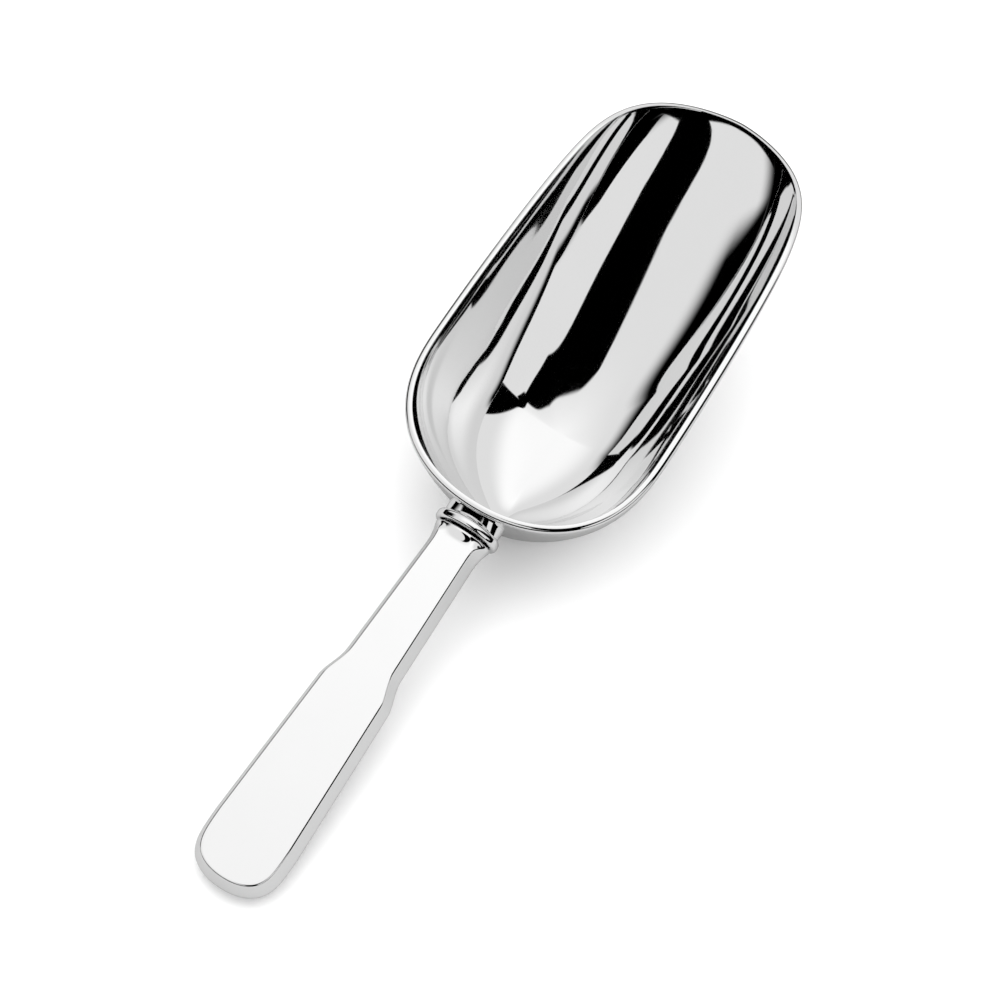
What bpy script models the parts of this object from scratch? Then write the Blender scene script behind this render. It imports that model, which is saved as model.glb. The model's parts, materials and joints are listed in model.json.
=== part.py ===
"""Ice scoop: a deep open bowl, an oval bolster collar and a hollow handle made of two stamped shells.

The scoop has its own frame while it is built: the flat rim of the bowl lies at z = 0, its back edge
is near y = 0, the pouring lip points along +Y and the handle runs along -Y. An empty then pitches the
whole scoop about X, so that it lies as it does on a table, on the bowl's belly and the handle's end.
"""

import math

import bmesh
import bpy
from mathutils import Vector
from mathutils.bvhtree import BVHTree

MM = 0.001
GAP = 0.3 * MM

# Bowl: plan outline of the outer wall at the rim, and the depth below the rim.
BOWL_BACK = -0.5 * MM
BOWL_FRONT = 115.5 * MM
BOWL_WIDEST = 32.0 * MM
BOWL_HALF_WIDTH = 30.9 * MM
BOWL_LOWEST = 34.0 * MM
BOWL_DEPTH = 32.1 * MM
BOWL_FRONT_TAPER = 0.149
BACK_OUTLINE_POWERS = (2.6, 2.1)
FRONT_OUTLINE_POWERS = (9.0, 1.64)

# Bowl: how the walls turn into the floor. A high power is a steep wall with a tight bottom corner.
# The side walls have their powers at the back, at the deepest section and at the pouring lip.
SIDE_DEPTH_POWERS = (1.55, 1.46, 1.45)
SIDE_CORNER_POWERS = (1.99, 2.91, 2.34)
BACK_DEPTH_POWER = 1.32
BACK_CORNER_POWER = 9.5
FRONT_DEPTH_POWER = 1.08
FRONT_CORNER_POWER = 1.56
# The level curves turn towards an oval near the floor: by this share, with this power of the level.
FLOOR_OVAL_SHARE = 0.71
FLOOR_OVAL_POWER = 4.7

# The pouring lip is lower than the rest of the rim.
LIP_DROP = 8.1 * MM
LIP_DROP_START = 88.8 * MM

RIM_THICKNESS = 1.8 * MM
FLOOR_THICKNESS = 0.8 * MM
RIM_OUTER_RADIUS = 1.2 * MM
RIM_INNER_RADIUS = 0.15 * MM

# Handle axis: its height under the rim at the bowl, and the angle at which it rises towards the end.
AXIS_BELOW_RIM = 7.9 * MM
HANDLE_RISE = math.radians(2.9)

# Handle: distances from the bowl along the handle axis.
LIP_FACE = 5.05 * MM
LIP_CREST = 5.5 * MM
WIDTH_FLARE_END = 11.0 * MM
HEIGHT_FLARE_END = 8.5 * MM
SHOULDER_START = 40.8 * MM
SHOULDER_END = 49.3 * MM
HANDLE_END = 100.0 * MM
END_ROUNDING = 14.0 * MM
END_POWERS = (4.0, 2.1)

# Handle: half sizes of its section. The side facets lean in from the seam to the flat faces.
NECK_HALF_WIDTH = 6.2 * MM
NECK_WIDENING = 0.032
BLADE_HALF_WIDTH = 9.2 * MM
BLADE_WIDENING = 0.0405
HANDLE_HALF_HEIGHT = 4.0 * MM
FACET_DRAFT = 1.65 * MM
LIP_HALF_WIDTH = 7.25 * MM
LIP_HALF_HEIGHT = 4.8 * MM
EDGE_ROUNDING = 0.3 * MM
SHELL_THICKNESS = 1.1 * MM

# Bolster collar: an oval bead with a neck that meets the bowl and a spigot that fills the handle mouth.
BEAD_CENTRE = 3.5 * MM
BEAD_HALF_LENGTH = 1.2 * MM
BEAD_HALF_WIDTH = 8.0 * MM
BEAD_HALF_HEIGHT = 6.1 * MM
BEAD_RELIEF = 1.0 * MM
NECK_AT_BOWL = (7.1 * MM, 5.8 * MM)
NECK_AT_BEAD = (6.9 * MM, 4.4 * MM)
SPIGOT_HALF_SIZE = (4.5 * MM, 2.4 * MM)
SPIGOT_END = 8.8 * MM

# Tang: a flat bar from the bowl's back wall through the collar into the handle.
TANG_WIDTH = 5.0 * MM
TANG_THICKNESS = 2.4 * MM
TANG_START = 0.7 * MM
TANG_END = 62.0 * MM
TANG_TIP_WIDTH = 3.0 * MM
CEMENT_START = 9.4 * MM

RIM_POINTS = 112
BOWL_LEVELS = 13
LEVEL_SPACING = 1.4
COLUMNS_ACROSS_FACE = 6
COLLAR_POINTS = 48


def clear_scene():
    for item in list(bpy.data.objects):
        bpy.data.objects.remove(item, do_unlink=True)


def smoothstep(value):
    value = min(1.0, max(0.0, value))
    return value * value * (3.0 - 2.0 * value)


def make_material(name, colour, roughness, metallic):
    material = bpy.data.materials.new(name)
    material.use_nodes = True
    shader = material.node_tree.nodes["Principled BSDF"]
    shader.inputs["Base Color"].default_value = (*colour, 1.0)
    shader.inputs["Roughness"].default_value = roughness
    shader.inputs["Metallic"].default_value = metallic
    return material


def make_object(name, mesh_builder, material, parent, sharp_angle=math.radians(35.0)):
    """Turns a bmesh into a named object with outward faces."""
    bmesh.ops.remove_doubles(mesh_builder, verts=mesh_builder.verts, dist=1e-7)
    bmesh.ops.dissolve_degenerate(mesh_builder, edges=mesh_builder.edges, dist=1e-8)
    bmesh.ops.recalc_face_normals(mesh_builder, faces=mesh_builder.faces)
    mesh = bpy.data.meshes.new(name)
    mesh_builder.to_mesh(mesh)
    mesh_builder.free()
    mesh.shade_smooth()
    mesh.set_sharp_from_angle(angle=sharp_angle)
    mesh.materials.append(material)
    item = bpy.data.objects.new(name, mesh)
    bpy.context.collection.objects.link(item)
    item.parent = parent
    return item


def bridge(mesh_builder, first, second, closed):
    """Joins two rows of vertices with quads."""
    count = len(first)
    for index in range(count if closed else count - 1):
        after = (index + 1) % count
        mesh_builder.faces.new((first[index], first[after], second[after], second[index]))


# --- Bowl -------------------------------------------------------------------------------------------


def rim_half_width(y):
    if y < BOWL_WIDEST:
        along = (BOWL_WIDEST - y) / (BOWL_WIDEST - BOWL_BACK)
        inner_power, outer_power = BACK_OUTLINE_POWERS
        taper = 1.0
    else:
        along = (y - BOWL_WIDEST) / (BOWL_FRONT - BOWL_WIDEST)
        inner_power, outer_power = FRONT_OUTLINE_POWERS
        taper = 1.0 - BOWL_FRONT_TAPER * along ** 2
    rounding = max(0.0, 1.0 - along ** inner_power) ** (1.0 / outer_power)
    return BOWL_HALF_WIDTH * taper * rounding


def rim_outline(count):
    """Plan points of the outer rim, evenly spaced along it, from the middle of the back."""
    steps = 3000
    middle = 0.5 * (BOWL_BACK + BOWL_FRONT)
    half = 0.5 * (BOWL_FRONT - BOWL_BACK)
    side = []
    for index in range(steps + 1):
        y = middle - half * math.cos(math.pi * index / steps)
        side.append((rim_half_width(y), y))
    travelled = [0.0]
    for before, after in zip(side, side[1:]):
        travelled.append(travelled[-1] + math.dist(before, after))
    points = []
    position = 0
    for index in range(count // 2 + 1):
        target = travelled[-1] * index / (count // 2)
        while position < steps - 1 and travelled[position + 1] < target:
            position += 1
        share = (target - travelled[position]) / (travelled[position + 1] - travelled[position])
        before, after = side[position], side[position + 1]
        points.append((before[0] + share * (after[0] - before[0]), before[1] + share * (after[1] - before[1])))
    return points + [(-x, y) for x, y in points[-2:0:-1]]


def rim_height(y):
    """The rim's top, which is flat but for the lowered pouring lip."""
    return -LIP_DROP * (max(0.0, y - LIP_DROP_START) / (BOWL_FRONT - LIP_DROP_START)) ** 2


def side_power(powers, y):
    """A side wall's power, from its values at the back, at the deepest section and at the lip."""
    back, middle, lip = powers
    if y < BOWL_LOWEST:
        return middle + (back - middle) * smoothstep((BOWL_LOWEST - y) / (BOWL_LOWEST - BOWL_BACK))
    return middle + (lip - middle) * smoothstep((y - BOWL_LOWEST) / (BOWL_FRONT - BOWL_LOWEST))


def bowl_point(x, y, level):
    """The outer wall under a rim point: level is 0 at the rim and 1 at the lowest point."""
    along = (y - BOWL_LOWEST) / ((BOWL_BACK if y < BOWL_LOWEST else BOWL_FRONT) - BOWL_LOWEST)
    oval = math.copysign(BOWL_HALF_WIDTH * math.sqrt(max(0.0, 1.0 - along ** 2)), x)
    x += (oval - x) * FLOOR_OVAL_SHARE * level ** FLOOR_OVAL_POWER
    side_remaining = 1.0 - level ** side_power(SIDE_DEPTH_POWERS, y)
    side_scale = side_remaining ** (1.0 / side_power(SIDE_CORNER_POWERS, y))
    if y < BOWL_LOWEST:
        length_scale = (1.0 - level ** BACK_DEPTH_POWER) ** (1.0 / BACK_CORNER_POWER)
    else:
        length_scale = (1.0 - level ** FRONT_DEPTH_POWER) ** (1.0 / FRONT_CORNER_POWER)
    return Vector((
        x * side_scale,
        BOWL_LOWEST + (y - BOWL_LOWEST) * length_scale,
        rim_height(y) * (1.0 - level) - BOWL_DEPTH * level,
    ))


def wall_normal(x, y, level, tangent):
    """Inward unit normal of the wall at a rim point and level, given the rim's direction there."""
    step = 1e-3
    ahead = bowl_point(x + tangent[0] * step * MM, y + tangent[1] * step * MM, level)
    behind = bowl_point(x - tangent[0] * step * MM, y - tangent[1] * step * MM, level)
    lower = bowl_point(x, y, min(level + step, 1.0 - step))
    upper = bowl_point(x, y, max(level - step, 0.0))
    return (upper - lower).cross(ahead - behind).normalized()


def bowl_levels():
    """Levels that lie close together under the rim's rounding and at the floor."""
    first = RIM_OUTER_RADIUS / BOWL_DEPTH
    levels = []
    for index in range(BOWL_LEVELS):
        angle = 0.5 * math.pi * (index / BOWL_LEVELS) ** 0.85
        levels.append(max(first, math.sin(angle) ** LEVEL_SPACING))
    return levels


def make_bowl(material, parent):
    outline = rim_outline(RIM_POINTS)
    tangents = []
    for index in range(RIM_POINTS):
        before, after = outline[index - 1], outline[(index + 1) % RIM_POINTS]
        length = math.dist(before, after)
        tangents.append(((after[0] - before[0]) / length, (after[1] - before[1]) / length))

    outer_rows, inner_rows = [], []
    for level in bowl_levels():
        thickness = FLOOR_THICKNESS + (RIM_THICKNESS - FLOOR_THICKNESS) * (1.0 - level) ** 4
        outer_row, inner_row = [], []
        for (x, y), tangent in zip(outline, tangents):
            point = bowl_point(x, y, level)
            outer_row.append(point)
            inner_row.append(point + wall_normal(x, y, level, tangent) * thickness)
        outer_rows.append(outer_row)
        inner_rows.append(inner_row)

    def rim_row(inset):
        row = []
        for (x, y), tangent in zip(outline, tangents):
            inset_y = y + tangent[0] * inset
            row.append(Vector((x - tangent[1] * inset, inset_y, rim_height(inset_y))))
        return row

    # The outer edge is rounded by a curve from the wall to the rim's top, with the corner as its control.
    corner_row, top_row = rim_row(0.0), rim_row(RIM_OUTER_RADIUS)
    rounded_row = [
        0.25 * wall + 0.5 * corner + 0.25 * top
        for wall, corner, top in zip(outer_rows[0], corner_row, top_row)
    ]
    rim_rows = [rounded_row, top_row, rim_row(RIM_THICKNESS - RIM_INNER_RADIUS)]
    rows = outer_rows[::-1] + rim_rows + inner_rows
    builder = bmesh.new()
    vertex_rows = [[builder.verts.new(point) for point in row] for row in rows]
    for before, after in zip(vertex_rows, vertex_rows[1:]):
        bridge(builder, before, after, closed=True)
    outer_floor = builder.verts.new((0.0, BOWL_LOWEST, -BOWL_DEPTH))
    inner_floor = builder.verts.new((0.0, BOWL_LOWEST, -BOWL_DEPTH + FLOOR_THICKNESS))
    for row, floor in ((vertex_rows[0], outer_floor), (vertex_rows[-1], inner_floor)):
        for index in range(RIM_POINTS):
            builder.faces.new((row[index], row[(index + 1) % RIM_POINTS], floor))
    return make_object("bowl", builder, material, parent)


# --- Handle -----------------------------------------------------------------------------------------


def flare(distance, end):
    """1 at the crest of the handle's lip, falling to 0 at the end of the flare."""
    return (max(0.0, end - max(distance, LIP_CREST)) / (end - LIP_CREST)) ** 2


def lip_rounding(distance):
    """How far the lip's edge is turned in, between its crest and its face."""
    share = max(0.0, LIP_CREST - distance) / (LIP_CREST - LIP_FACE)
    return EDGE_ROUNDING * (1.0 - math.sqrt(max(0.0, 1.0 - share ** 2)))


def handle_half_width(distance):
    neck = NECK_HALF_WIDTH + NECK_WIDENING * (distance - WIDTH_FLARE_END)
    blade = BLADE_HALF_WIDTH + BLADE_WIDENING * (min(distance, HANDLE_END - END_ROUNDING) - SHOULDER_END)
    shoulder = smoothstep((distance - SHOULDER_START) / (SHOULDER_END - SHOULDER_START))
    width = neck + (blade - neck) * shoulder
    width += (LIP_HALF_WIDTH - NECK_HALF_WIDTH) * flare(distance, WIDTH_FLARE_END)
    into_end = max(0.0, distance - (HANDLE_END - END_ROUNDING)) / END_ROUNDING
    width *= max(0.0, 1.0 - into_end ** END_POWERS[0]) ** (1.0 / END_POWERS[1])
    return width - lip_rounding(distance)


def handle_half_height(distance):
    flared = (LIP_HALF_HEIGHT - HANDLE_HALF_HEIGHT) * flare(distance, HEIGHT_FLARE_END)
    return HANDLE_HALF_HEIGHT + flared - lip_rounding(distance)


def handle_stations(first):
    """Distances along the handle, closer together where its outline turns."""
    stations = [first]
    while stations[-1] < HANDLE_END - END_ROUNDING - 1e-9:
        here = stations[-1]
        if here < HEIGHT_FLARE_END:
            step = 0.5 * MM
        elif here < WIDTH_FLARE_END:
            step = 1.0 * MM
        elif SHOULDER_START - MM < here < SHOULDER_END + MM:
            step = 1.2 * MM
        else:
            step = 5.5 * MM
        stations.append(min(here + step, HANDLE_END - END_ROUNDING))
    corner_steps = 12
    for index in range(1, corner_steps + 1):
        share = math.sin(0.5 * math.pi * index / corner_steps) ** (2.0 / END_POWERS[0])
        stations.append(HANDLE_END - END_ROUNDING + END_ROUNDING * share)
    return stations


def outline_direction(distance):
    """Unit direction of the handle's plan outline, towards its end."""
    step = 0.01 * MM
    if distance > HANDLE_END - step:
        return (-1.0, 0.0)
    change = handle_half_width(distance + step) - handle_half_width(distance)
    length = math.hypot(change, step)
    return (change / length, step / length)


def half_section(distance, depth):
    """Points from the right seam over the face to the left seam, at a depth under the outer skin.

    Positions are (x, distance along the handle, z) for the upper half.
    """
    lean = math.atan2(FACET_DRAFT, HANDLE_HALF_HEIGHT)
    height = handle_half_height(distance) - depth
    seam_inset = depth / math.cos(lean)
    face_inset = seam_inset + (HANDLE_HALF_HEIGHT - depth) * math.tan(lean)
    direction = outline_direction(distance)
    width = handle_half_width(distance)

    def plan(inset):
        return max(0.0, width - inset * direction[1]), distance + inset * direction[0]

    seam_x, seam_along = plan(seam_inset)
    face_x, face_along = plan(face_inset)
    edge = min(EDGE_ROUNDING, 0.3 * face_x)
    side = []
    for share in (0.0, 0.5, 0.93):
        x = seam_x + (face_x - seam_x) * share
        side.append((x, seam_along + (face_along - seam_along) * share, height * share))
    side.append((face_x - 0.2 * edge, face_along, height - 0.06 * EDGE_ROUNDING))
    for column in range(COLUMNS_ACROSS_FACE // 2 + 1):
        side.append(((face_x - edge) * (1.0 - 2.0 * column / COLUMNS_ACROSS_FACE), face_along, height))

    rounder = 1.0 - smoothstep((distance - LIP_CREST) / (HEIGHT_FLARE_END - LIP_CREST))
    half = []
    for index, flat_point in enumerate(side):
        angle = 0.5 * math.pi * index / (len(side) - 1)
        oval_point = (seam_x * math.cos(angle), seam_along, height * math.sin(angle))
        half.append(tuple(a + (b - a) * rounder for a, b in zip(flat_point, oval_point)))
    return half + [(-x, along, z) for x, along, z in half[-2::-1]]


def section_points(distance, depth, side, lift):
    """One row of a half section in the handle's frame, for the upper (+1) or lower (-1) half."""
    return [Vector((x, -along, side * (z + lift))) for x, along, z in half_section(distance, depth)]


def make_shell(name, side, material, parent):
    """A stamped half shell, open at the seam and at the handle's mouth."""
    builder = bmesh.new()
    stations = handle_stations(LIP_FACE)
    outer, inner = [], []
    for distance in stations:
        outer.append([builder.verts.new(p) for p in section_points(distance, 0.0, side, 0.5 * GAP)])
        inner.append([builder.verts.new(p) for p in section_points(distance, SHELL_THICKNESS, side, 0.5 * GAP)])
    for rows in (outer, inner):
        for before, after in zip(rows, rows[1:]):
            bridge(builder, before, after, closed=False)
    bridge(builder, outer[0], inner[0], closed=False)
    for edge in (0, -1):
        bridge(builder, [row[edge] for row in outer], [row[edge] for row in inner], closed=False)
    return make_object(name, builder, material, parent)


def make_cement(material, parent, tang_slot):
    """The filler that holds the tang: it fills the two shells behind the collar's spigot."""
    builder = bmesh.new()
    depth = SHELL_THICKNESS + GAP
    rings = []
    for distance in handle_stations(CEMENT_START):
        upper = section_points(distance, depth, 1.0, 0.0)
        lower = section_points(distance, depth, -1.0, 0.0)
        rings.append([builder.verts.new(p) for p in upper + lower[-2:0:-1]])
    for before, after in zip(rings, rings[1:]):
        bridge(builder, before, after, closed=True)
    builder.faces.new(rings[0])
    item = make_object("handle_cement", builder, material, parent)
    cut = item.modifiers.new("tang_slot", "BOOLEAN")
    cut.operation = "DIFFERENCE"
    cut.solver = "EXACT"
    cut.object = tang_slot
    return item


def make_bar(name, material, parent, start, end, half_width, tip_half_width, half_height):
    """A flat bar along the handle axis whose far end narrows to its tip."""
    builder = bmesh.new()
    shoulder = end - 2.0 * (half_width - tip_half_width)
    rings = []
    for distance, width in ((start, half_width), (shoulder, half_width), (end, tip_half_width)):
        corners = ((width, 1.0), (-width, 1.0), (-width, -1.0), (width, -1.0))
        rings.append([builder.verts.new((x, -distance, z * half_height)) for x, z in corners])
    for before, after in zip(rings, rings[1:]):
        bridge(builder, before, after, closed=True)
    builder.faces.new(rings[0])
    builder.faces.new(rings[-1])
    return make_object(name, builder, material, parent)


def make_cutter(name, parent, start, end, half_width, tip_half_width, half_height):
    cutter = make_bar(name, make_material(name, (0.5, 0.5, 0.5), 0.5, 0.0), parent, start, end,
                      half_width, tip_half_width, half_height)
    cutter.hide_render = True
    cutter.display_type = "WIRE"
    return cutter


# --- Bolster collar ---------------------------------------------------------------------------------


def collar_profile():
    """(distance, half width, half height) of the collar's sections, from the bowl to the spigot."""
    front = BEAD_CENTRE - BEAD_HALF_LENGTH
    back = BEAD_CENTRE + BEAD_HALF_LENGTH
    base = (BEAD_HALF_WIDTH - BEAD_RELIEF, BEAD_HALF_HEIGHT - BEAD_RELIEF)
    sections = [(0.0, *NECK_AT_BOWL), (0.97 * front, *NECK_AT_BEAD)]
    bead_steps = 10
    for index in range(bead_steps + 1):
        angle = math.pi * index / bead_steps
        swell = BEAD_RELIEF * math.sin(angle)
        distance = BEAD_CENTRE - BEAD_HALF_LENGTH * math.cos(angle)
        sections.append((distance, base[0] + swell, base[1] + swell))
    sections.append((back, *SPIGOT_HALF_SIZE))
    sections.append((SPIGOT_END, *SPIGOT_HALF_SIZE))
    return sections


def make_collar(material, parent, bowl, handle_axis, slot):
    """The collar's front face follows the bowl's back wall and leaves the solder gap."""
    bowl_tree = BVHTree.FromObject(bowl, bpy.context.evaluated_depsgraph_get())
    to_bowl = bowl.matrix_world.inverted() @ handle_axis.matrix_world
    from_bowl = to_bowl.inverted()
    forward = (to_bowl.to_3x3() @ Vector((0.0, 1.0, 0.0))).normalized()

    def on_bowl(x, z):
        start = to_bowl @ Vector((x, -SPIGOT_END, z))
        hit = bowl_tree.ray_cast(start, forward)[0]
        return (from_bowl @ hit) - Vector((0.0, GAP, 0.0))

    builder = bmesh.new()
    rings = []
    for number, (distance, half_width, half_height) in enumerate(collar_profile()):
        ring = []
        for index in range(COLLAR_POINTS):
            angle = 2.0 * math.pi * index / COLLAR_POINTS
            x, z = half_width * math.cos(angle), half_height * math.sin(angle)
            point = on_bowl(x, z) if number == 0 else Vector((x, -distance, z))
            ring.append(builder.verts.new(point))
        rings.append(ring)
    for before, after in zip(rings, rings[1:]):
        bridge(builder, before, after, closed=True)
    builder.faces.new(rings[-1])
    middle = builder.verts.new(on_bowl(0.0, 0.0))
    for index in range(COLLAR_POINTS):
        builder.faces.new((rings[0][index], rings[0][(index + 1) % COLLAR_POINTS], middle))
    item = make_object("bolster_collar", builder, material, parent)
    cut = item.modifiers.new("tang_slot", "BOOLEAN")
    cut.operation = "DIFFERENCE"
    cut.solver = "EXACT"
    cut.object = slot
    return item


# --- Resting attitude -------------------------------------------------------------------------------


def lowest(points, pitch):
    return min(y * math.sin(pitch) + z * math.cos(pitch) for _, y, z in points)


def rest_pitch(bowl_points, handle_points):
    """The pitch about X at which the bowl's belly and the handle's end reach the same height."""
    low, high = 0.0, math.radians(30.0)
    for _ in range(50):
        middle = 0.5 * (low + high)
        if lowest(handle_points, middle) > lowest(bowl_points, middle):
            low = middle
        else:
            high = middle
    return 0.5 * (low + high)


def world_points(items):
    return [tuple(item.matrix_world @ vertex.co) for item in items for vertex in item.data.vertices]


def rest_on_table(root, bowl, handle_parts):
    """Pitches the scoop and sets its origin at the middle of the bottom of its box."""
    bpy.context.view_layer.update()
    pitch = rest_pitch(world_points([bowl]), world_points(handle_parts))
    root.rotation_euler = (pitch, 0.0, 0.0)
    bpy.context.view_layer.update()
    points = world_points([bowl, *handle_parts])
    middle_y = 0.5 * (min(p[1] for p in points) + max(p[1] for p in points))
    root.location = (0.0, -middle_y, -min(p[2] for p in points))
    bpy.context.view_layer.update()


def main():
    clear_scene()
    root = bpy.data.objects.new("scoop_rest", None)
    handle_axis = bpy.data.objects.new("handle_axis", None)
    for empty in (root, handle_axis):
        bpy.context.collection.objects.link(empty)
    handle_axis.parent = root
    handle_axis.location = (0.0, 0.0, -AXIS_BELOW_RIM)
    handle_axis.rotation_euler = (-HANDLE_RISE, 0.0, 0.0)
    bpy.context.view_layer.update()

    silver = (0.93, 0.93, 0.92)
    bowl = make_bowl(make_material("polished_bowl", silver, 0.05, 1.0), root)
    bpy.context.view_layer.update()

    half_width, half_thickness = 0.5 * TANG_WIDTH, 0.5 * TANG_THICKNESS
    slot = make_cutter("tang_slot_cutter", handle_axis, -4.0 * MM, TANG_END + GAP,
                       half_width + GAP, 0.5 * TANG_TIP_WIDTH + GAP, half_thickness + GAP)
    make_collar(make_material("polished_collar", silver, 0.05, 1.0), handle_axis, bowl, handle_axis, slot)
    make_bar("tang", make_material("tang_steel", (0.42, 0.41, 0.40), 0.45, 1.0), handle_axis,
             TANG_START, TANG_END, half_width, 0.5 * TANG_TIP_WIDTH, half_thickness)
    shell_silver = make_material("polished_shell", silver, 0.05, 1.0)
    upper = make_shell("handle_front_shell", 1.0, shell_silver, handle_axis)
    lower = make_shell("handle_back_shell", -1.0, shell_silver, handle_axis)
    make_cement(make_material("handle_filler", (0.55, 0.50, 0.42), 0.9, 0.0), handle_axis, slot)
    rest_on_table(root, bowl, [upper, lower])


main()
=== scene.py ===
"""The ice scoop's looks: a mirror-polished silver scoop under plain soft studio light.

The bowl is shaped in the scoop's frame: its flat rim lies at z = 0, its back edge is near y = 0
and the pouring lip points along +Y. The handle and the collar are shaped in the handle's frame,
whose origin is on the handle's axis below the rim's back edge. handle_placement() finds where the
handle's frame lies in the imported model.
"""

import json
import math

import bmesh
import bpy
import numpy as np
from mathutils import Matrix, Vector
from mathutils.bvhtree import BVHTree


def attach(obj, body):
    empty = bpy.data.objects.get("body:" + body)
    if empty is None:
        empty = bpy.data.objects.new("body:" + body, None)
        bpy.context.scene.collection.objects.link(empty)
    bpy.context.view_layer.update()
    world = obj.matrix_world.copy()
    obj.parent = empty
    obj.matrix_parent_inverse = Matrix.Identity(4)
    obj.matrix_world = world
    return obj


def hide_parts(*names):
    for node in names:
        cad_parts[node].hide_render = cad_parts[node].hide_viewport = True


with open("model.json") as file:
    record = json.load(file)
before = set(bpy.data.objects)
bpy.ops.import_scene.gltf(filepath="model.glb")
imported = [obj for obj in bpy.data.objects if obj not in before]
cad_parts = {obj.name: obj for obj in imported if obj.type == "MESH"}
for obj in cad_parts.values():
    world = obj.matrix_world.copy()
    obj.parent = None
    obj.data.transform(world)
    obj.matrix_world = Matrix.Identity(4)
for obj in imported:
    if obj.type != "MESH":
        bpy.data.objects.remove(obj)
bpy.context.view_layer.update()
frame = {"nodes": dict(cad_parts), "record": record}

MM = 0.001

# Bowl. The dimensions follow the CAD part. A few are slightly smaller, so that the visible skin
# stays inside the CAD's box. The powers are used by rim_half_width() and bowl_points().
BOWL_BACK = -0.5 * MM
BOWL_FRONT = 115.45 * MM
BOWL_WIDEST = 32.0 * MM
BOWL_HALF_WIDTH = 30.87 * MM
BOWL_LOWEST = 34.0 * MM
BOWL_DEPTH = 32.0 * MM
BOWL_FRONT_TAPER = 0.149
BACK_OUTLINE_POWERS = (2.6, 2.1)
FRONT_OUTLINE_POWERS = (9.0, 1.64)
SIDE_DEPTH_POWERS = (1.55, 1.46, 1.45)
SIDE_CORNER_POWERS = (1.99, 2.91, 2.34)
BACK_DEPTH_POWER = 1.32
BACK_CORNER_POWER = 9.5
FRONT_DEPTH_POWER = 1.08
FRONT_CORNER_POWER = 1.56
# Near the floor the level curves turn towards an oval: by a share, times a power of the level.
FLOOR_OVAL_SHARE = 0.71
FLOOR_OVAL_POWER = 4.7
LIP_DROP = 8.1 * MM
LIP_DROP_START = 88.8 * MM
RIM_THICKNESS = 1.8 * MM
FLOOR_THICKNESS = 0.75 * MM
RIM_THICKENING_POWER = 4
RIM_OUTER_RADIUS = 1.2 * MM
RIM_INNER_RADIUS = 0.15 * MM

# How finely the bowl is divided: round the rim, down the wall and over the rim's two edges. The
# two powers space the wall's levels, which are closer together towards the floor.
OUTLINE_SAMPLES = 20000
RIM_POINTS = 320
WALL_LEVELS = 96
LEVEL_ANGLE_POWER = 0.85
LEVEL_SINE_POWER = 1.4
RIM_OUTER_STEPS = 10
RIM_INNER_STEPS = 4

# Handle: a pair of shells that meet at the seam. Places along it are distances from the bowl.
AXIS_BELOW_RIM = 7.9 * MM
HANDLE_RISE = math.radians(2.9)
LIP_FACE = 5.05 * MM
LIP_CREST = 5.5 * MM
WIDTH_FLARE_END = 11.0 * MM
HEIGHT_FLARE_END = 8.5 * MM
SHOULDER_START = 40.8 * MM
SHOULDER_END = 49.3 * MM
HANDLE_END = 100.0 * MM
END_ROUNDING = 14.0 * MM
END_POWERS = (4.0, 2.1)
NECK_HALF_WIDTH = 6.2 * MM
NECK_WIDENING = 0.032
BLADE_HALF_WIDTH = 9.2 * MM
BLADE_WIDENING = 0.0405
HANDLE_HALF_HEIGHT = 4.13 * MM
FACET_DRAFT = 1.65 * MM
LIP_HALF_WIDTH = 7.25 * MM
LIP_HALF_HEIGHT = 4.78 * MM
LIP_ROUNDING = 0.3 * MM
FACE_EDGE_RADIUS = 0.5 * MM
SEAM_HALF_GAP = 0.02 * MM
SEAM_EDGE = 0.06 * MM
SHELL_THICKNESS = 1.1 * MM

# How finely the handle is divided along its length and across each half.
LIP_SPACING = 0.05 * MM
FLARE_SPACING = 0.2 * MM
SHOULDER_SPACING = 0.3 * MM
BLADE_SPACING = 1.5 * MM
END_STEPS = 60
FACET_START = 0.03
FACET_STEPS = 6
FILLET_STEPS = 6
FACE_STEPS = 12

# Bolster collar: a neck soldered to the bowl, a bead, and a spigot inside the handle's mouth. Its
# sections are ovals of a half width and a half height, and the neck's flare is added at the bowl.
BEAD_CENTRE = 3.5 * MM
BEAD_HALF_LENGTH = 1.2 * MM
BEAD_HALF_WIDTH = 8.0 * MM
BEAD_HALF_HEIGHT = 6.1 * MM
BEAD_RELIEF = 1.0 * MM
BEAD_ROUNDING = 0.75
NECK_HALF_SIZE = (6.9 * MM, 4.4 * MM)
NECK_FLARE = (0.2 * MM, 1.4 * MM)
SPIGOT_HALF_SIZE = (4.5 * MM, 2.4 * MM)
SPIGOT_END = 8.8 * MM
SOLDER_OVERLAP = 0.45 * MM
COLLAR_POINTS = 160
NECK_STEPS = 12
BEAD_STEPS = 40
# The neck's last section lies at this share of the way to the bead.
NECK_REACH = 0.97

# The top face mount's place in the handle's frame.
FACE_MOUNT = (0.0, -70.0 * MM, 4.15 * MM)

# Silver, with faint cloudy patches whose colour is the tint times their shade.
SILVER_TINT = (0.88, 0.88, 0.88)
SILVER_ROUGHNESS = 0.02
CLOUD_SHADE = 0.97

# Camera: its direction in the scoop's frame (x and y of a unit vector), roll, distance and aim.
CAMERA_SIDEWAYS = 0.215
CAMERA_TOWARDS_HANDLE = 0.25
CAMERA_ROLL = math.radians(34.0)
CAMERA_DISTANCE = 613.5 * MM
CAMERA_AIM = (5.81 * MM, 1.49 * MM)
CAMERA_LENS = 100.0
CAMERA_SENSOR = 36.0
CAMERA_NEAR = 0.01
CAMERA_FAR = 20.0

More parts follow.
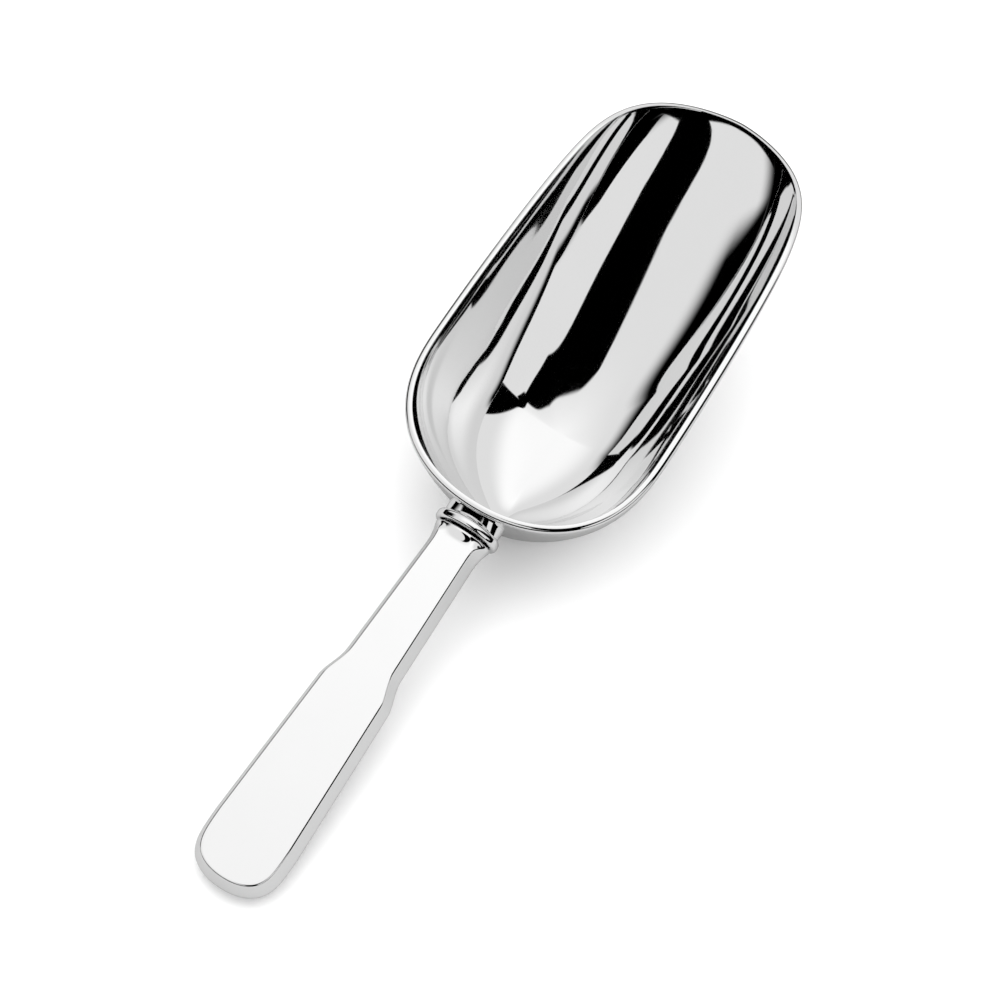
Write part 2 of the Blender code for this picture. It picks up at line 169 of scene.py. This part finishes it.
# Studio, by x / z and y / z of the direction from the scoop; corners run anticlockwise.
BACK_PANEL = ((-0.5, -0.1), (0.5, 0.0), (0.5, 0.4), (-0.5, 0.4))
BACK_PANEL_SOFTNESS = 0.3
# The camera's gap between the two front soft boxes bends to the right as it comes forward: the
# numbers are its middle's offset, slope and bend. It is made of convex shapes that overlap.
GAP_BEND = (0.084, -0.157, 0.365)
GAP_SOFTNESS = 0.012
CAMERA_GAP = (
    (
        (-0.35, -0.27), (-0.27, -0.62), (0.255, -0.62), (0.31, -0.17),
        (0.2, -0.135), (-0.08, -0.155), (-0.26, -0.2),
    ),
    ((-0.265, -0.56), (-0.325, -0.76), (0.29, -0.76), (0.262, -0.56)),
    (
        (-0.305, -0.7), (-0.38, -0.85), (-0.415, -1.0), (-0.42, -1.2),
        (-0.42, -3.0), (0.285, -3.0), (0.285, -0.7),
    ),
)
# Dark shapes, each with the softness of its edges: one width for all, or one per edge.
DARK_SHAPES = (
    # The gap between the back and the right soft box.
    (((0.28, -0.2), (0.5, -0.17), (0.62, -0.06), (0.28, -0.02)), GAP_SOFTNESS),
    (
        ((0.3, -0.08), (0.6, -0.05), (1.0, 0.025), (4.0, 0.65), (4.0, 2.1), (0.3, 0.02)),
        GAP_SOFTNESS,
    ),
    # The room beyond the soft boxes: on the left, on the right and in front.
    (((-4.0, -1.42), (-1.22, -0.68), (-1.08, 0.3), (-4.0, 1.2)), (0.12, 0.3, 0.1, 0.02)),
    (
        (
            (2.1, -0.6), (2.12, -0.95), (2.25, -1.3), (3.2, -2.2),
            (6.0, -2.0), (6.0, -0.28), (2.6, -0.38),
        ),
        0.03,
    ),
    (
        (
            (-4.0, -2.0), (-4.0, -9.0), (9.0, -9.0), (9.0, -4.6),
            (2.1, -1.73), (1.25, -1.37), (-0.5, -1.35),
        ),
        0.03,
    ),
)
# z of the direction: the room darkens from the second edge down to the first. The lowest height
# keeps x / z and y / z finite near the horizon.
ROOM_EDGE = (0.2, 0.4)
LOWEST_PANEL_HEIGHT = 0.05
PANEL_LIGHT = 0.84
BACK_PANEL_LIGHT = 0.32

FLOOR_LIGHT = 2.8
FLOOR_LIGHT_SPREAD = math.radians(120.0)
FLOOR_COLOUR = (0.5, 0.5, 0.5)
FLOOR_HALF_SIZE = 3.0
FLOOR_HEIGHT = -0.0002
FLOOR_STEPS = 24

# Clean-up of a new piece: the distance at which points merge, the shortest edge that stays, and
# the angle from which an edge is sharp.
MERGE_DISTANCE = 2e-6
SHORTEST_EDGE = 1e-7
SHARP_ANGLE = math.radians(40.0)


def smoothstep(value):
    """0 up to 0 and 1 from 1, with a smooth rise between."""
    value = min(1.0, max(0.0, value))
    return value * value * (3.0 - 2.0 * value)


def new_piece(name, builder, nodes, material, placement):
    """Turns a bmesh into a piece that rides on the root and replaces CAD nodes."""
    bmesh.ops.remove_doubles(builder, verts=builder.verts, dist=MERGE_DISTANCE)
    bmesh.ops.dissolve_degenerate(builder, edges=builder.edges, dist=SHORTEST_EDGE)
    bmesh.ops.recalc_face_normals(builder, faces=builder.faces)
    mesh = bpy.data.meshes.new(name)
    builder.to_mesh(mesh)
    builder.free()
    mesh.transform(placement)
    mesh.shade_smooth()
    mesh.set_sharp_from_angle(angle=SHARP_ANGLE)
    mesh.materials.append(material)
    piece = bpy.data.objects.new(name, mesh)
    bpy.context.scene.collection.objects.link(piece)
    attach(piece, "root")
    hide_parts(*nodes)
    return piece


def bridge(builder, first, second, closed):
    """Joins two rows of points with quads, and the rows' ends too if they are closed rings."""
    count = len(first)
    for index in range(count if closed else count - 1):
        after = (index + 1) % count
        builder.faces.new((first[index], first[after], second[after], second[index]))


# --- Bowl ---------------------------------------------------------------------------------------


def rim_half_width(y):
    """Half the bowl's width at y, with rounded ends and a tapered front."""
    if y < BOWL_WIDEST:
        along = (BOWL_WIDEST - y) / (BOWL_WIDEST - BOWL_BACK)
        inner_power, outer_power = BACK_OUTLINE_POWERS
        taper = 1.0
    else:
        along = (y - BOWL_WIDEST) / (BOWL_FRONT - BOWL_WIDEST)
        inner_power, outer_power = FRONT_OUTLINE_POWERS
        taper = 1.0 - BOWL_FRONT_TAPER * along ** 2
    rounding = max(0.0, 1.0 - along ** inner_power) ** (1.0 / outer_power)
    return BOWL_HALF_WIDTH * taper * rounding


def rim_outline(count):
    """Plan points of the outer rim, evenly spaced along it, from the middle of the back."""
    middle = 0.5 * (BOWL_BACK + BOWL_FRONT)
    half = 0.5 * (BOWL_FRONT - BOWL_BACK)
    ys = middle - half * np.cos(np.pi * np.arange(OUTLINE_SAMPLES + 1) / OUTLINE_SAMPLES)
    xs = np.array([rim_half_width(y) for y in ys])
    travelled = np.concatenate(([0.0], np.cumsum(np.hypot(np.diff(xs), np.diff(ys)))))
    targets = travelled[-1] * np.arange(count // 2 + 1) / (count // 2)
    side = list(zip(np.interp(targets, travelled, xs), np.interp(targets, travelled, ys)))
    return np.array(side + [(-x, y) for x, y in side[-2:0:-1]])


def rim_heights(y):
    """The rim's top, which is flat but for the lowered pouring lip."""
    into_lip = np.maximum(0.0, y - LIP_DROP_START) / (BOWL_FRONT - LIP_DROP_START)
    return -LIP_DROP * into_lip ** 2


def side_powers(powers, y):
    """A side wall's power at y, from its values at the back, the deepest section and the lip."""
    back, middle, lip = powers
    to_back = np.clip((BOWL_LOWEST - y) / (BOWL_LOWEST - BOWL_BACK), 0.0, 1.0)
    to_lip = np.clip((y - BOWL_LOWEST) / (BOWL_FRONT - BOWL_LOWEST), 0.0, 1.0)
    back_share, lip_share = (t * t * (3.0 - 2.0 * t) for t in (to_back, to_lip))
    return middle + (back - middle) * back_share + (lip - middle) * lip_share


def bowl_points(outline, level):
    """The outer wall under the rim's points: level is 0 at the rim and 1 at the lowest point."""
    x, y = outline[:, 0], outline[:, 1]
    along = (y - BOWL_LOWEST) / (np.where(y < BOWL_LOWEST, BOWL_BACK, BOWL_FRONT) - BOWL_LOWEST)
    oval = np.sign(x) * BOWL_HALF_WIDTH * np.sqrt(np.maximum(0.0, 1.0 - along ** 2))
    x = x + (oval - x) * FLOOR_OVAL_SHARE * level ** FLOOR_OVAL_POWER
    depth_powers = side_powers(SIDE_DEPTH_POWERS, y)
    corner_powers = side_powers(SIDE_CORNER_POWERS, y)
    side_scale = (1.0 - level ** depth_powers) ** (1.0 / corner_powers)
    back_scale = (1.0 - level ** BACK_DEPTH_POWER) ** (1.0 / BACK_CORNER_POWER)
    front_scale = (1.0 - level ** FRONT_DEPTH_POWER) ** (1.0 / FRONT_CORNER_POWER)
    length_scale = np.where(y < BOWL_LOWEST, back_scale, front_scale)
    return np.column_stack((
        x * side_scale,
        BOWL_LOWEST + (y - BOWL_LOWEST) * length_scale,
        rim_heights(y) * (1.0 - level) - BOWL_DEPTH * level,
    ))


def unit(vectors):
    """The rows of an array, each scaled to a length of 1."""
    return vectors / np.linalg.norm(vectors, axis=1, keepdims=True)


def wall_normals(outline, tangents, level):
    """Inward unit normals of the wall at a level, from small steps along the rim and down it."""
    step = 1e-3
    lowest_level = 1.0 - 1e-6
    ahead = bowl_points(outline + tangents * step * MM, level)
    behind = bowl_points(outline - tangents * step * MM, level)
    lower = bowl_points(outline, min(level + step, lowest_level))
    upper = bowl_points(outline, max(level - step, 0.0))
    return unit(np.cross(upper - lower, ahead - behind))


def make_bowl(material, placement):
    """One pressed sheet: the outer wall, the rim and the inner wall, closed by the floor."""
    outline = rim_outline(RIM_POINTS)
    tangents = unit(np.roll(outline, -1, axis=0) - np.roll(outline, 1, axis=0))
    first_level = RIM_OUTER_RADIUS / BOWL_DEPTH
    outer_rows, inner_rows = [], []
    for index in range(WALL_LEVELS):
        angle = 0.5 * math.pi * (index / WALL_LEVELS) ** LEVEL_ANGLE_POWER
        level = max(first_level, math.sin(angle) ** LEVEL_SINE_POWER)
        thickening = (1.0 - level) ** RIM_THICKENING_POWER
        thickness = FLOOR_THICKNESS + (RIM_THICKNESS - FLOOR_THICKNESS) * thickening
        outer = bowl_points(outline, level)
        outer_rows.append(outer)
        inner_rows.append(outer + wall_normals(outline, tangents, level) * thickness)

    def rim_row(inset, drop):
        """Points inside the rim's outline by an inset, at a drop under the rim's top."""
        x = outline[:, 0] - tangents[:, 1] * inset
        y = outline[:, 1] + tangents[:, 0] * inset
        return np.column_stack((x, y, rim_heights(y) - drop))

    # The outer edge is rounded by a curve from the wall to the rim's top, towards their corner.
    corner, top = rim_row(0.0, 0.0), rim_row(RIM_OUTER_RADIUS, 0.0)
    rim_rows = []
    for index in range(1, RIM_OUTER_STEPS + 1):
        share = index / RIM_OUTER_STEPS
        rest = 1.0 - share
        wall_part = rest * rest * outer_rows[0]
        rim_rows.append(wall_part + 2.0 * rest * share * corner + share * share * top)
    for index in range(RIM_INNER_STEPS + 1):
        angle = 0.5 * math.pi * index / RIM_INNER_STEPS
        inset = RIM_THICKNESS - RIM_INNER_RADIUS * (1.0 - math.sin(angle))
        rim_rows.append(rim_row(inset, RIM_INNER_RADIUS * (1.0 - math.cos(angle))))

    rows = outer_rows[::-1] + rim_rows + inner_rows
    builder = bmesh.new()
    vertex_rows = [[builder.verts.new(point) for point in row] for row in rows]
    for before, after in zip(vertex_rows, vertex_rows[1:]):
        bridge(builder, before, after, closed=True)
    outer_floor = builder.verts.new((0.0, BOWL_LOWEST, -BOWL_DEPTH))
    inner_floor = builder.verts.new((0.0, BOWL_LOWEST, -BOWL_DEPTH + FLOOR_THICKNESS))
    for row, floor in ((vertex_rows[0], outer_floor), (vertex_rows[-1], inner_floor)):
        for index in range(RIM_POINTS):
            builder.faces.new((row[index], row[(index + 1) % RIM_POINTS], floor))
    return new_piece("bowl_polished", builder, ["bowl"], material, placement)


# --- Handle -------------------------------------------------------------------------------------


def width_flare(distance):
    """1 up to the lip's crest in plan, falling to 0 where the neck's straight sides begin."""
    short_of_neck = max(0.0, WIDTH_FLARE_END - max(distance, LIP_CREST))
    return (short_of_neck / (WIDTH_FLARE_END - LIP_CREST)) ** 2


def lip_step(distance):
    """1 on the lip's flat crest, falling to 0 where it meets the handle's face."""
    return 1.0 - smoothstep((distance - LIP_CREST) / (HEIGHT_FLARE_END - LIP_CREST))


def lip_rounding(distance):
    """How far the rounded edge of the lip's front face falls short of the crest."""
    share = max(0.0, LIP_CREST - distance) / (LIP_CREST - LIP_FACE)
    return LIP_ROUNDING * (1.0 - math.sqrt(max(0.0, 1.0 - share ** 2)))


def handle_half_width(distance):
    """Half the width in plan: lip, neck, shoulder, widening blade and rounded end."""
    neck = NECK_HALF_WIDTH + NECK_WIDENING * (distance - WIDTH_FLARE_END)
    blade_end = min(distance, HANDLE_END - END_ROUNDING)
    blade = BLADE_HALF_WIDTH + BLADE_WIDENING * (blade_end - SHOULDER_END)
    shoulder = smoothstep((distance - SHOULDER_START) / (SHOULDER_END - SHOULDER_START))
    width = neck + (blade - neck) * shoulder
    width += (LIP_HALF_WIDTH - NECK_HALF_WIDTH) * width_flare(distance)
    into_end = max(0.0, distance - (HANDLE_END - END_ROUNDING)) / END_ROUNDING
    width *= max(0.0, 1.0 - into_end ** END_POWERS[0]) ** (1.0 / END_POWERS[1])
    return width - lip_rounding(distance)


def handle_half_height(distance):
    """Half the thickness: level along the blade and raised at the lip."""
    flared = (LIP_HALF_HEIGHT - HANDLE_HALF_HEIGHT) * lip_step(distance)
    return HANDLE_HALF_HEIGHT + flared - lip_rounding(distance)


def handle_stations(first):
    """Distances along the handle, closer together where its outline turns."""
    stations = [first]
    while stations[-1] < HANDLE_END - END_ROUNDING - 1e-9:
        here = stations[-1]
        if here < LIP_CREST:
            step = LIP_SPACING
        elif here < WIDTH_FLARE_END:
            step = FLARE_SPACING
        elif SHOULDER_START - MM < here < SHOULDER_END + MM:
            step = SHOULDER_SPACING
        else:
            step = BLADE_SPACING
        stations.append(min(here + step, HANDLE_END - END_ROUNDING))
    for index in range(1, END_STEPS + 1):
        share = math.sin(0.5 * math.pi * index / END_STEPS) ** (2.0 / END_POWERS[0])
        stations.append(HANDLE_END - END_ROUNDING + END_ROUNDING * share)
    return stations


def outline_direction(distance):
    """The plan outline's direction, as a unit vector of (change of half width, change along)."""
    step = 0.01 * MM
    if distance > HANDLE_END - step:
        return (-1.0, 0.0)
    change = handle_half_width(distance + step) - handle_half_width(distance)
    length = math.hypot(change, step)
    return (change / length, step / length)


def half_section(distance, depth):
    """Points from the right seam over the face to the left seam, at a depth under the outer skin.

    The blade has leaning side facets and a flat face. Towards the lip the section turns oval.
    """
    lean = math.atan2(FACET_DRAFT, HANDLE_HALF_HEIGHT)
    height = handle_half_height(distance) - depth
    seam_inset = depth / math.cos(lean)
    face_inset = seam_inset + (HANDLE_HALF_HEIGHT - depth) * math.tan(lean)
    direction = outline_direction(distance)
    width = handle_half_width(distance)

    def at(inset, z):
        """A point at a height, inside the plan outline by an inset square to it."""
        return (max(0.0, width - inset * direction[1]), distance + inset * direction[0], z)

    # The fillet between facet and face turns from the facet's lean to flat.
    turn = 0.5 * math.pi - lean
    setback = FACE_EDGE_RADIUS * math.tan(0.5 * turn)
    centre_inset = face_inset + setback
    centre_height = height - FACE_EDGE_RADIUS
    slant = math.hypot(face_inset - seam_inset, height)
    facet_end = 1.0 - setback / slant
    side = [at(seam_inset + SEAM_EDGE, 0.0)]
    for share in np.linspace(FACET_START, facet_end, FACET_STEPS + 1)[:-1]:
        side.append(at(seam_inset + (face_inset - seam_inset) * share, height * share))
    for index in range(FILLET_STEPS + 1):
        angle = lean + turn * index / FILLET_STEPS
        fillet_inset = centre_inset - FACE_EDGE_RADIUS * math.cos(angle)
        fillet_height = centre_height + FACE_EDGE_RADIUS * math.sin(angle)
        side.append(at(fillet_inset, fillet_height))
    flat_x, flat_along, _ = side[-1]
    for index in range(1, FACE_STEPS + 1):
        side.append((flat_x * (1.0 - index / FACE_STEPS), flat_along, height))

    rounder = lip_step(distance)
    seam_x, seam_along, _ = side[0]
    half = []
    for index, flat_point in enumerate(side):
        angle = 0.5 * math.pi * index / (len(side) - 1)
        oval_point = (seam_x * math.cos(angle), seam_along, height * math.sin(angle))
        half.append(tuple(a + (b - a) * rounder for a, b in zip(flat_point, oval_point)))
    return half + [(-x, along, z) for x, along, z in half[-2::-1]]


def make_shell(name, node, side, material, placement):
    """One half of the hollow handle: side is 1 above the seam and -1 below it."""
    builder = bmesh.new()
    outer, inner = [], []
    for distance in handle_stations(LIP_FACE):
        for rows, depth in ((outer, 0.0), (inner, SHELL_THICKNESS)):
            rows.append([
                builder.verts.new((x, -along, side * (z + SEAM_HALF_GAP)))
                for x, along, z in half_section(distance, depth)
            ])
    for rows in (outer, inner):
        for before, after in zip(rows, rows[1:]):
            bridge(builder, before, after, closed=False)
    bridge(builder, outer[0], inner[0], closed=False)
    for edge in (0, -1):
        bridge(builder, [row[edge] for row in outer], [row[edge] for row in inner], closed=False)
    return new_piece(name, builder, [node], material, placement)


# --- Bolster collar -----------------------------------------------------------------------------


def collar_profile():
    """(distance, half width, half height) of the collar's sections, from bowl to spigot."""
    front = BEAD_CENTRE - BEAD_HALF_LENGTH
    back = BEAD_CENTRE + BEAD_HALF_LENGTH
    base = (BEAD_HALF_WIDTH - BEAD_RELIEF, BEAD_HALF_HEIGHT - BEAD_RELIEF)
    neck_sizes = list(zip(NECK_HALF_SIZE, NECK_FLARE))
    sections = []
    for index in range(NECK_STEPS + 1):
        share = index / NECK_STEPS
        half_sizes = (size + spread * (1.0 - share) for size, spread in neck_sizes)
        sections.append((NECK_REACH * front * share, *half_sizes))
    for index in range(BEAD_STEPS + 1):
        angle = math.pi * index / BEAD_STEPS
        swell = BEAD_RELIEF * math.sin(angle) ** BEAD_ROUNDING
        along = math.copysign(abs(math.cos(angle)) ** BEAD_ROUNDING, math.cos(angle))
        distance = BEAD_CENTRE - BEAD_HALF_LENGTH * along
        sections.append((distance, base[0] + swell, base[1] + swell))
    sections.append((back, *SPIGOT_HALF_SIZE))
    sections.append((SPIGOT_END, *SPIGOT_HALF_SIZE))
    return sections


def make_collar(material, placement, bowl_back):
    """The collar, whose front runs into the solder joint at the bowl's back wall."""
    builder = bmesh.new()
    rings = []
    for number, (distance, half_width, half_height) in enumerate(collar_profile()):
        ring = []
        for index in range(COLLAR_POINTS):
            angle = 2.0 * math.pi * index / COLLAR_POINTS
            x, z = half_width * math.cos(angle), half_height * math.sin(angle)
            y = bowl_back(x, z) + SOLDER_OVERLAP if number == 0 else -distance
            ring.append(builder.verts.new((x, y, z)))
        rings.append(ring)
    for before, after in zip(rings, rings[1:]):
        bridge(builder, before, after, closed=True)
    builder.faces.new(rings[0])
    builder.faces.new(rings[-1])
    nodes = ["bolster_collar"]
    return new_piece("collar_polished", builder, nodes, material, placement)


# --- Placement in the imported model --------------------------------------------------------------


def handle_in_scoop():
    """The handle's frame in the scoop's: below the rim, with the handle rising from the bowl."""
    return Matrix.Translation((0.0, 0.0, -AXIS_BELOW_RIM)) @ Matrix.Rotation(-HANDLE_RISE, 4, "X")


def handle_placement():
    """The handle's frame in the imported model, from the mount on its top face."""
    face = next(m for m in frame["record"]["mounts"] if m["name"] == "handle_top_face")
    _, axis_y, axis_z = face["axis"]
    turned = Matrix.Rotation(math.atan2(-axis_y, axis_z), 4, "X")
    return Matrix.Translation(face["pos_m"]) @ turned @ Matrix.Translation(-Vector(FACE_MOUNT))


def bowl_back_wall(bowl, handle):
    """y of the bowl's outer back wall in the handle's frame, as a function of x and z there."""
    corners = [vertex.co for vertex in bowl.data.vertices]
    tree = BVHTree.FromPolygons(corners, [face.vertices for face in bowl.data.polygons])
    forward = (handle.to_3x3() @ Vector((0.0, 1.0, 0.0))).normalized()

    def wall(x, z):
        hit = tree.ray_cast(handle @ Vector((x, -SPIGOT_END, z)), forward)[0]
        return (handle.inverted() @ hit).y

    return wall


# --- Materials ----------------------------------------------------------------------------------


def add(nodes, kind, **values):
    """A new shader node with some of its properties set."""
    node = nodes.new(kind)
    for key, value in values.items():
        setattr(node, key, value)
    return node


def metal_material(name, tint, roughness):
    """Finished metal: polishing lines in roughness and bump, and a faint cloudiness in colour."""
    material = bpy.data.materials.new(name)
    material.use_nodes = True
    tree = material.node_tree
    nodes, link = tree.nodes, tree.links.new
    shader = nodes["Principled BSDF"]
    shader.inputs["Metallic"].default_value = 1.0
    shader.inputs["IOR"].default_value = 1.45
    place = add(nodes, "ShaderNodeTexCoord")

    cloud = add(nodes, "ShaderNodeTexNoise")
    cloud.inputs["Scale"].default_value = 55.0
    cloud.inputs["Detail"].default_value = 4.0
    link(place.outputs["Object"], cloud.inputs["Vector"])

    stretch = add(nodes, "ShaderNodeMapping")
    stretch.inputs["Scale"].default_value = (1400.0, 60.0, 900.0)
    link(place.outputs["Object"], stretch.inputs["Vector"])
    hairlines = add(nodes, "ShaderNodeTexNoise")
    hairlines.inputs["Scale"].default_value = 1.0
    hairlines.inputs["Detail"].default_value = 3.0
    link(stretch.outputs["Vector"], hairlines.inputs["Vector"])

    colour = add(nodes, "ShaderNodeMix", data_type="RGBA")
    colour.inputs["A"].default_value = (*tint, 1.0)
    colour.inputs["B"].default_value = (*(part * CLOUD_SHADE for part in tint), 1.0)
    link(cloud.outputs["Fac"], colour.inputs["Factor"])
    link(colour.outputs["Result"], shader.inputs["Base Color"])

    rough = add(nodes, "ShaderNodeMapRange")
    rough.inputs["From Min"].default_value = 0.3
    rough.inputs["From Max"].default_value = 0.75
    rough.inputs["To Min"].default_value = roughness
    rough.inputs["To Max"].default_value = roughness + 0.03
    link(hairlines.outputs["Fac"], rough.inputs["Value"])
    link(rough.outputs["Result"], shader.inputs["Roughness"])

    bump = add(nodes, "ShaderNodeBump")
    bump.inputs["Strength"].default_value = 0.012
    bump.inputs["Distance"].default_value = 0.0001
    link(hairlines.outputs["Fac"], bump.inputs["Height"])
    link(bump.outputs["Normal"], shader.inputs["Normal"])
    return material


def silver_material(name):
    """Mirror-polished silver, for the visible pieces."""
    return metal_material(name, SILVER_TINT, SILVER_ROUGHNESS)


def steel_material():
    """Plain drawn steel, for the tang."""
    return metal_material("tang_steel", (0.42, 0.41, 0.40), 0.35)


def cement_material():
    """Grainy resin cement, for the handle's filler."""
    material = bpy.data.materials.new("handle_cement")
    material.use_nodes = True
    nodes, link = material.node_tree.nodes, material.node_tree.links.new
    shader = nodes["Principled BSDF"]
    place = add(nodes, "ShaderNodeTexCoord")
    grain = add(nodes, "ShaderNodeTexNoise")
    grain.inputs["Scale"].default_value = 900.0
    grain.inputs["Detail"].default_value = 6.0
    link(place.outputs["Object"], grain.inputs["Vector"])
    colour = add(nodes, "ShaderNodeMix", data_type="RGBA")
    colour.inputs["A"].default_value = (0.48, 0.43, 0.35, 1.0)
    colour.inputs["B"].default_value = (0.64, 0.59, 0.50, 1.0)
    link(grain.outputs["Fac"], colour.inputs["Factor"])
    link(colour.outputs["Result"], shader.inputs["Base Color"])
    shader.inputs["Roughness"].default_value = 0.9
    bump = add(nodes, "ShaderNodeBump")
    bump.inputs["Strength"].default_value = 0.4
    bump.inputs["Distance"].default_value = 0.0002
    link(grain.outputs["Fac"], bump.inputs["Height"])
    link(bump.outputs["Normal"], shader.inputs["Normal"])
    return material


# --- Studio -------------------------------------------------------------------------------------


def make_floor():
    """A sheet of pale paper, which is white to the camera and darker to reflections."""
    builder = bmesh.new()
    half = FLOOR_HALF_SIZE
    lines = [-half + 2.0 * half * index / FLOOR_STEPS for index in range(FLOOR_STEPS + 1)]
    rows = [[builder.verts.new((x, y, FLOOR_HEIGHT)) for x in lines] for y in lines]
    for before, after in zip(rows, rows[1:]):
        bridge(builder, before, after, closed=False)
    bmesh.ops.recalc_face_normals(builder, faces=builder.faces)
    mesh = bpy.data.meshes.new("studio_floor")
    builder.to_mesh(mesh)
    builder.free()
    floor = bpy.data.objects.new("studio_floor", mesh)
    bpy.context.scene.collection.objects.link(floor)
    material = bpy.data.materials.new("floor_paper")
    material.use_nodes = True
    tree = material.node_tree
    shader = tree.nodes["Principled BSDF"]
    shader.inputs["Roughness"].default_value = 0.9
    path = add(tree.nodes, "ShaderNodeLightPath")
    colour = add(tree.nodes, "ShaderNodeMix", data_type="RGBA")
    colour.inputs["A"].default_value = (*FLOOR_COLOUR, 1.0)
    colour.inputs["B"].default_value = (1.0, 1.0, 1.0, 1.0)
    tree.links.new(path.outputs["Is Camera Ray"], colour.inputs["Factor"])
    tree.links.new(colour.outputs["Result"], shader.inputs["Base Color"])
    mesh.materials.append(material)


class Field:
    """A number that varies over a shader, with arithmetic that adds math nodes."""

    def __init__(self, tree, source):
        self.tree = tree
        self.source = source

    def math(self, operation, other):
        node = add(self.tree.nodes, "ShaderNodeMath", operation=operation)
        for socket, value in zip(node.inputs, (self, other)):
            if isinstance(value, Field):
                self.tree.links.new(value.source, socket)
            else:
                socket.default_value = value
        return Field(self.tree, node.outputs["Value"])

    def __add__(self, other):
        return self.math("ADD", other)

    def __sub__(self, other):
        return self.math("SUBTRACT", other)

    def __mul__(self, other):
        return self.math("MULTIPLY", other)

    def __truediv__(self, other):
        return self.math("DIVIDE", other)

    def rise(self, start, end):
        """0 up to the start value and 1 from the end value, with a smooth rise between."""
        node = add(self.tree.nodes, "ShaderNodeMapRange", interpolation_type="SMOOTHSTEP")
        self.tree.links.new(self.source, node.inputs["Value"])
        node.inputs["From Min"].default_value = start
        node.inputs["From Max"].default_value = end
        return Field(self.tree, node.outputs["Result"])


def soft_panel(x, y, corners, softness):
    """1 inside a convex panel whose corners run anticlockwise, with a soft edge.

    The softness is one width for all edges, or one per edge.
    """
    widths = softness if isinstance(softness, tuple) else (softness,) * len(corners)
    mask = None
    for (x0, y0), (x1, y1), width in zip(corners, corners[1:] + corners[:1], widths):
        length = math.hypot(x1 - x0, y1 - y0)
        inward_x, inward_y = (y0 - y1) / length, (x1 - x0) / length
        distance = x * inward_x + y * inward_y - (x0 * inward_x + y0 * inward_y)
        edge = distance.rise(-width, width)
        mask = edge if mask is None else mask * edge
    return mask


def make_world():
    """Overhead soft boxes in a dark room, with a gap between them for the camera.

    Panels are placed by x / z and y / z of their direction from the scoop.
    """
    world = bpy.data.worlds.new("studio")
    bpy.context.scene.world = world
    world.use_nodes = True
    tree = world.node_tree
    background = tree.nodes["Background"]
    coordinates = add(tree.nodes, "ShaderNodeTexCoord")
    split = add(tree.nodes, "ShaderNodeSeparateXYZ")
    tree.links.new(coordinates.outputs["Generated"], split.inputs["Vector"])
    x, y, z = (Field(tree, split.outputs[axis]) for axis in "XYZ")
    above = z.math("MAXIMUM", LOWEST_PANEL_HEIGHT)
    x, y = x / above, y / above

    light = soft_panel(x, y, BACK_PANEL, BACK_PANEL_SOFTNESS) * BACK_PANEL_LIGHT + PANEL_LIGHT
    middle, slope, bend = GAP_BEND
    across = x - (y * slope + y * y * bend + middle)
    for corners in CAMERA_GAP:
        light = light * (soft_panel(across, y, corners, GAP_SOFTNESS) * -1.0 + 1.0)
    for corners, softness in DARK_SHAPES:
        light = light * (soft_panel(x, y, corners, softness) * -1.0 + 1.0)
    light = light * z.rise(*ROOM_EDGE)

    # Behind the scoop the camera sees a plain white backdrop.
    path = add(tree.nodes, "ShaderNodeLightPath")
    seen = Field(tree, path.outputs["Is Camera Ray"])
    light = light * (seen * -1.0 + 1.0) + seen
    background.inputs["Color"].default_value = (1.0, 1.0, 1.0, 1.0)
    tree.links.new(light.source, background.inputs["Strength"])


def make_floor_light():
    """A wide soft light that keeps the floor a plain pale sheet and isn't seen in reflections."""
    data = bpy.data.lights.new("floor_light", "SUN")
    data.energy = FLOOR_LIGHT
    data.angle = FLOOR_LIGHT_SPREAD
    lamp = bpy.data.objects.new("floor_light", data)
    lamp.visible_glossy = False
    bpy.context.scene.collection.objects.link(lamp)


def make_camera(scoop):
    """A long lens over the bowl's right side and a little towards the handle."""
    view = Vector((CAMERA_SIDEWAYS, -CAMERA_TOWARDS_HANDLE, 0.0))
    view.z = math.sqrt(1.0 - view.length_squared)
    up = (Vector((0.0, 1.0, 0.0)) - view.y * view).normalized()
    right = up.cross(view)
    rolled_right = right * math.cos(CAMERA_ROLL) + up * math.sin(CAMERA_ROLL)
    rolled_up = up * math.cos(CAMERA_ROLL) - right * math.sin(CAMERA_ROLL)
    place = rolled_right * CAMERA_AIM[0] + rolled_up * CAMERA_AIM[1] + view * CAMERA_DISTANCE
    axes = Matrix((rolled_right, rolled_up, view)).transposed().to_4x4()
    data = bpy.data.cameras.new("camera")
    data.lens = CAMERA_LENS
    data.sensor_width = CAMERA_SENSOR
    data.clip_start = CAMERA_NEAR
    data.clip_end = CAMERA_FAR
    camera = bpy.data.objects.new("camera", data)
    bpy.context.scene.collection.objects.link(camera)
    camera.matrix_world = scoop @ Matrix.Translation(place) @ axes
    bpy.context.scene.camera = camera


def main():
    handle = handle_placement()
    scoop = handle @ handle_in_scoop().inverted()
    bowl = make_bowl(silver_material("bowl_silver"), scoop)
    make_collar(silver_material("collar_silver"), handle, bowl_back_wall(bowl, handle))
    shell = silver_material("handle_silver")
    make_shell("handle_top_polished", "handle_front_shell", 1.0, shell, handle)
    make_shell("handle_under_polished", "handle_back_shell", -1.0, shell, handle)
    for name, material in (("tang", steel_material()), ("handle_cement", cement_material())):
        materials = frame["nodes"][name].data.materials
        materials.clear()
        materials.append(material)
    make_floor()
    make_world()
    make_floor_light()
    make_camera(scoop)
    bpy.context.scene.view_settings.view_transform = "Standard"


main()
